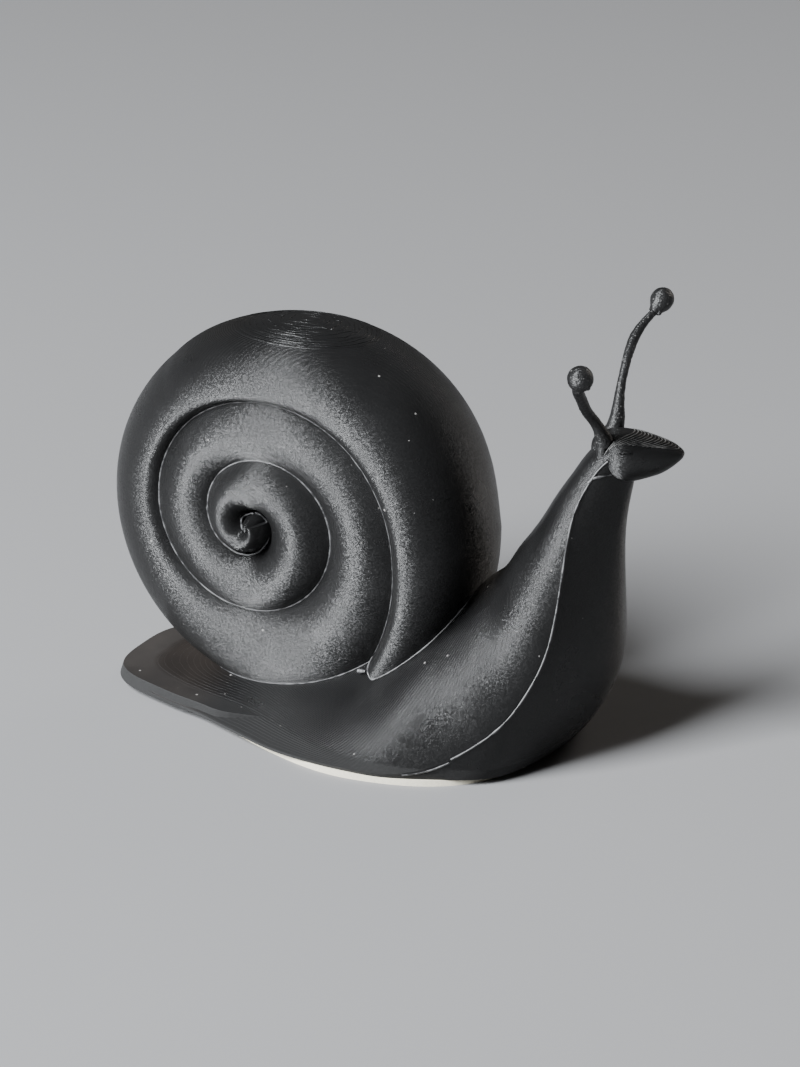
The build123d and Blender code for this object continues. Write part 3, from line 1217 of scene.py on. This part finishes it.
def face_target(name: str, data: bpy.types.ID, target: Vector, azimuth: float, elevation: float,
                distance: float) -> bpy.types.Object:
    """Set up a lamp or a camera that faces a target.

    Args:
        name: its name.
        data: the lamp or the camera.
        target: the point that it faces.
        azimuth: direction that it stands in, in degrees, where 0 looks along Y.
        elevation: how high it stands, in degrees.
        distance: its distance in metres.

    Returns:
        Its object.
    """
    turn, lift = math.radians(azimuth), math.radians(elevation)
    back = Vector((math.sin(turn) * math.cos(lift), -math.cos(turn) * math.cos(lift), math.sin(lift)))
    holder = bpy.data.objects.new(name, data)
    holder.location = target + back * distance
    holder.rotation_euler = (-back).to_track_quat("-Z", "Y").to_euler()
    bpy.context.scene.collection.objects.link(holder)
    return holder


@dataclass(frozen=True)
class SoftLight:
    """A large soft lamp that points at the model.

    Attributes:
        name: the lamp's name.
        azimuth: direction that it stands in, in degrees.
        elevation: how high it stands, in degrees.
        width: its width in metres.
        height: its height in metres.
        power: its power in watts.
        tint: its colour.
        lit: the objects that it lights, or none for all of them.
        distance: its distance in metres.
    """

    name: str
    azimuth: float
    elevation: float
    width: float
    height: float
    power: float
    tint: Triple
    lit: tuple[str, ...] = ()
    distance: float = 1.2

    def hang(self, target: Vector) -> None:
        """Place the lamp.

        Args:
            target: the point that it faces.
        """
        lamp = bpy.data.lights.new(self.name, "AREA")
        lamp.shape, lamp.size, lamp.size_y = "RECTANGLE", self.width, self.height
        lamp.energy, lamp.color = self.power, self.tint
        holder = face_target(self.name, lamp, target, self.azimuth, self.elevation, self.distance)
        if self.lit:
            flagged = bpy.data.collections.new(self.name + "_lights")
            for name in self.lit:
                flagged.objects.link(bpy.data.objects[name])
            holder.light_linking.receiver_collection = flagged


@dataclass(frozen=True)
class Studio:
    """Pale floor, soft light and the camera at the photograph's angle.

    Attributes:
        target: the point in metres that the camera and the lamps face.
        azimuth: the camera's direction, in degrees.
        elevation: the camera's height, in degrees.
        distance: the camera's distance in metres.
        lens: the camera's focal length.
        sensor: width of the camera's sensor.
        far: farthest distance in metres that the camera sees.
        floor_size: side of the floor in metres.
        sky_tint: colour of the sky.
        sky_strength: brightness of the sky.
        lamps: the lamps.
    """

    target: Triple = (0.012, 0.0, 0.0266)
    azimuth: float = 26.4
    elevation: float = 22.0
    distance: float = 0.4861
    lens: float = 118.09
    sensor: float = 36.0
    far: float = 100.0
    floor_size: float = 6.0
    sky_tint: Triple = (1.0, 0.95, 0.9)
    sky_strength: float = 0.034
    lamps: tuple[SoftLight, ...] = (
        SoftLight("window", -29.0, 40.0, width=0.5, height=0.8, power=84.0, tint=COOL, lit=SHELL_SIDE),
        SoftLight("window_low", -52.0, 30.0, width=0.6, height=0.7, power=78.0, tint=COOL, lit=BODY_SIDE),
        SoftLight("room_behind", 166.0, 30.0, width=0.5, height=0.5, power=3.0, tint=WARM),
    )

    def build(self) -> None:
        """Make the floor, the sky and the camera."""
        bpy.ops.object.select_all(action="DESELECT")
        bpy.ops.mesh.primitive_plane_add(size=self.floor_size)
        floor = bpy.context.object
        floor.name = "studio_floor"
        dress(floor, PlainPaint("studio_paint").material())
        world = bpy.data.worlds.new("studio_sky")
        bpy.context.scene.world = world
        world.use_nodes = True
        sky = world.node_tree.nodes["Background"].inputs
        sky["Color"].default_value = (*self.sky_tint, 1.0)
        sky["Strength"].default_value = self.sky_strength
        camera = bpy.data.cameras.new("camera")
        camera.lens, camera.sensor_width, camera.clip_end = self.lens, self.sensor, self.far
        bpy.context.scene.camera = face_target(
            "camera", camera, Vector(self.target), self.azimuth, self.elevation, self.distance,
        )

    def light(self) -> None:
        """Hang the lamps, once every piece that they light is there."""
        for lamp in self.lamps:
            lamp.hang(Vector(self.target))


def dress_solids(body: bpy.types.Material, shell: bpy.types.Material) -> None:
    """Give every CAD node its finish.

    Args:
        body: the body's plastic, which the stalks are printed in too.
        shell: the shell's plastic.
    """
    pin = PrintedPlastic("pin_plastic_finish").material()
    pad = PadFelt("pad_felt_finish").material()
    for name, material in (
        ("body", body), ("shell", shell), ("eye_stalk_left", body), ("eye_stalk_right", body),
        ("shell_pin_front", pin), ("shell_pin_rear", pin), ("foot_pad", pad),
    ):
        dress(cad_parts[name], material)
        LOG.info("%s dressed", name)


def main() -> None:
    """Build the studio and the snail."""
    logging.basicConfig(level=logging.INFO, format="%(message)s")
    # The body's painted top light is warmer and brighter than the shell's.
    body = PrintedPlastic("body_plastic_finish", painted_top_light_tint=(0.022, 0.0185, 0.0165)).material()
    shell = PrintedPlastic("shell_plastic_finish").material()
    stalk = PrintedPlastic(
        "stalk_plastic_finish", dust=(0.09, 0.088, 0.085), roughness=0.38, layer_strength=0.5,
        grain=0.4, speck_scale=2600.0, speck_amount=0.4, speck_size=0.45,
    ).material()
    # Painted highlights: both bead finishes are paler colour that stands in for the glint along the beads
    # and layer edges.
    painted_glint = PaintedGlintBead("bead_painted_glint").material()
    layer_edge = PaintedGlintBead(
        "layer_edge_painted_glint", tint=(0.085, 0.083, 0.081), dark=(0.02, 0.02, 0.02),
    ).material()
    studio = Studio()
    studio.build()
    dress_solids(body, shell)
    ShellTrim().build(shell, painted_glint)
    BodyTrim().build(painted_glint, layer_edge)
    EyeStalks().build(stalk)
    studio.light()


if __name__ == "__main__":
    main()
